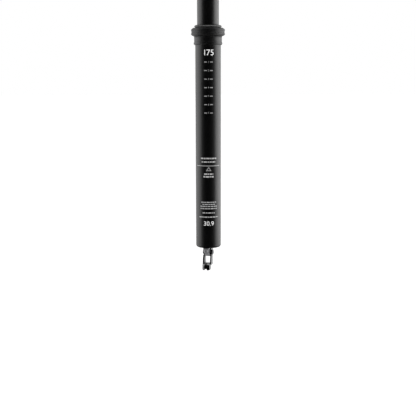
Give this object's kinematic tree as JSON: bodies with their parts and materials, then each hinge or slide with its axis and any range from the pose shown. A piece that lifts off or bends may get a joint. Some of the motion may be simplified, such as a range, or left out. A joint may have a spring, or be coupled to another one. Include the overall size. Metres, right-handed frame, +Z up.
{
  "type": "dropper seatpost",
  "caption": "Black telescoping bicycle seatpost with a sliding upper post, grip collar, saddle rail clamp and cable-pulled release lever under its foot.",
  "frame": {"origin": "on the post's axis at the collar's lower face, where the frame's seat tube ends", "axes": "+Z up the post, +Y forwards along the saddle rails, +X to the right seen from behind"},
  "size_m": [0.0558, 0.0568, 0.515],
  "materials": {
    "black_anodised_tube": "satin",
    "black_anodised_post": "satin",
    "black_collar": "satin",
    "black_forging": "satin",
    "black_rubber": "matte",
    "grey_rubber": "matte",
    "bushing_polymer": "satin",
    "grey_alloy": "satin",
    "dark_alloy": "satin",
    "hanger_steel": "satin",
    "polished_steel": "polished",
    "black_steel": "satin",
    "brass": "satin",
    "white_polymer": "satin"
  },
  "bodies": {
    "lower_post": {"outer_tube": "black_anodised_tube", "collar": "black_collar", "wiper_seal": "grey_rubber", "collar_o_ring": "black_rubber", "upper_bushing": "bushing_polymer", "top_out_bumper": "black_rubber", "foot_plug": "dark_alloy", "foot_o_ring": "black_rubber", "bottom_bumper": "black_rubber", "piston_rod": "polished_steel", "piston": "grey_alloy", "piston_ring": "white_polymer", "valve_cage": "grey_alloy", "valve_spring": "polished_steel", "cable_bracket": "hanger_steel", "pivot_screw": "black_steel"},
    "release_cam": {"release_cam": "grey_alloy"},
    "valve": {"valve_rod": "polished_steel"},
    "upper_post": {"stanchion": "black_anodised_post", "head": "black_forging", "lower_bushing": "bushing_polymer", "guide_pins": "brass", "cartridge_tube": "grey_alloy", "seal_head": "dark_alloy", "rod_seal": "black_rubber", "seal_head_clip": "polished_steel", "end_plug": "dark_alloy", "end_plug_o_ring": "black_rubber", "fill_valve": "brass"},
    "floating_piston": {"floating_piston": "grey_alloy", "floating_piston_seal": "black_rubber"},
    "saddle_clamp": {"lower_clamp": "black_forging", "upper_clamp": "black_forging"},
    "front_nut": {"front_nut": "black_steel"},
    "rear_nut": {"rear_nut": "black_steel"},
    "front_bolt": {"front_bolt": "black_steel", "front_washer": "polished_steel"},
    "rear_bolt": {"rear_bolt": "black_steel", "rear_washer": "polished_steel"}
  },
  "joints": [
    {"name": "post_slide", "type": "slide", "parent": "lower_post", "child": "upper_post", "axis": [0, 0, 1], "range_m": [-0.175, 0], "stiffness_N_per_m": 200, "springref_m": 0.6},
    {"name": "floating_piston_slide", "type": "slide", "parent": "upper_post", "child": "floating_piston", "axis": [0, 0, 1], "range_m": [0, 0.0388]},
    {"name": "cam_pivot", "type": "hinge", "parent": "lower_post", "child": "release_cam", "pos_m": [-0.0008, -0.00247, -0.2543], "axis": [0.9511, -0.309, 0], "range_deg": [0, 24]},
    {"name": "valve_slide", "type": "slide", "parent": "lower_post", "child": "valve", "axis": [0, 0, 1], "range_m": [0, 0.00108], "stiffness_N_per_m": 800, "springref_m": -0.008, "deforming": ["valve_spring"]},
    {"name": "saddle_tilt", "type": "hinge", "parent": "upper_post", "child": "saddle_clamp", "pos_m": [0, 0, 0.2257], "axis": [1, 0, 0], "range_deg": [-8, 8]},
    {"name": "front_bolt_swing", "type": "hinge", "parent": "upper_post", "child": "front_bolt", "pos_m": [0, 0.021, 0.2127], "axis": [1, 0, 0], "range_deg": [-2.1, 2.1]},
    {"name": "rear_bolt_swing", "type": "hinge", "parent": "upper_post", "child": "rear_bolt", "pos_m": [0, -0.021, 0.2127], "axis": [1, 0, 0], "range_deg": [-2.1, 2.1]},
    {"name": "front_nut_turn", "type": "hinge", "parent": "saddle_clamp", "child": "front_nut", "pos_m": [0, 0.021, 0.2303], "axis": [1, 0, 0], "range_deg": [-6.1, 6.1]},
    {"name": "rear_nut_turn", "type": "hinge", "parent": "saddle_clamp", "child": "rear_nut", "pos_m": [0, -0.021, 0.2303], "axis": [1, 0, 0], "range_deg": [-6.1, 6.1]}
  ],
  "couplings": [
    {"joint": "floating_piston_slide", "follows": "post_slide", "ratio": -0.22145},
    {"joint": "cam_pivot", "follows": "valve_slide", "rad_per_m": 384.62},
    {"joint": "front_bolt_swing", "follows": "saddle_tilt", "ratio": 0.25},
    {"joint": "rear_bolt_swing", "follows": "saddle_tilt", "ratio": 0.25},
    {"joint": "front_nut_turn", "follows": "saddle_tilt", "ratio": -0.75},
    {"joint": "rear_nut_turn", "follows": "saddle_tilt", "ratio": -0.75}
  ]
}
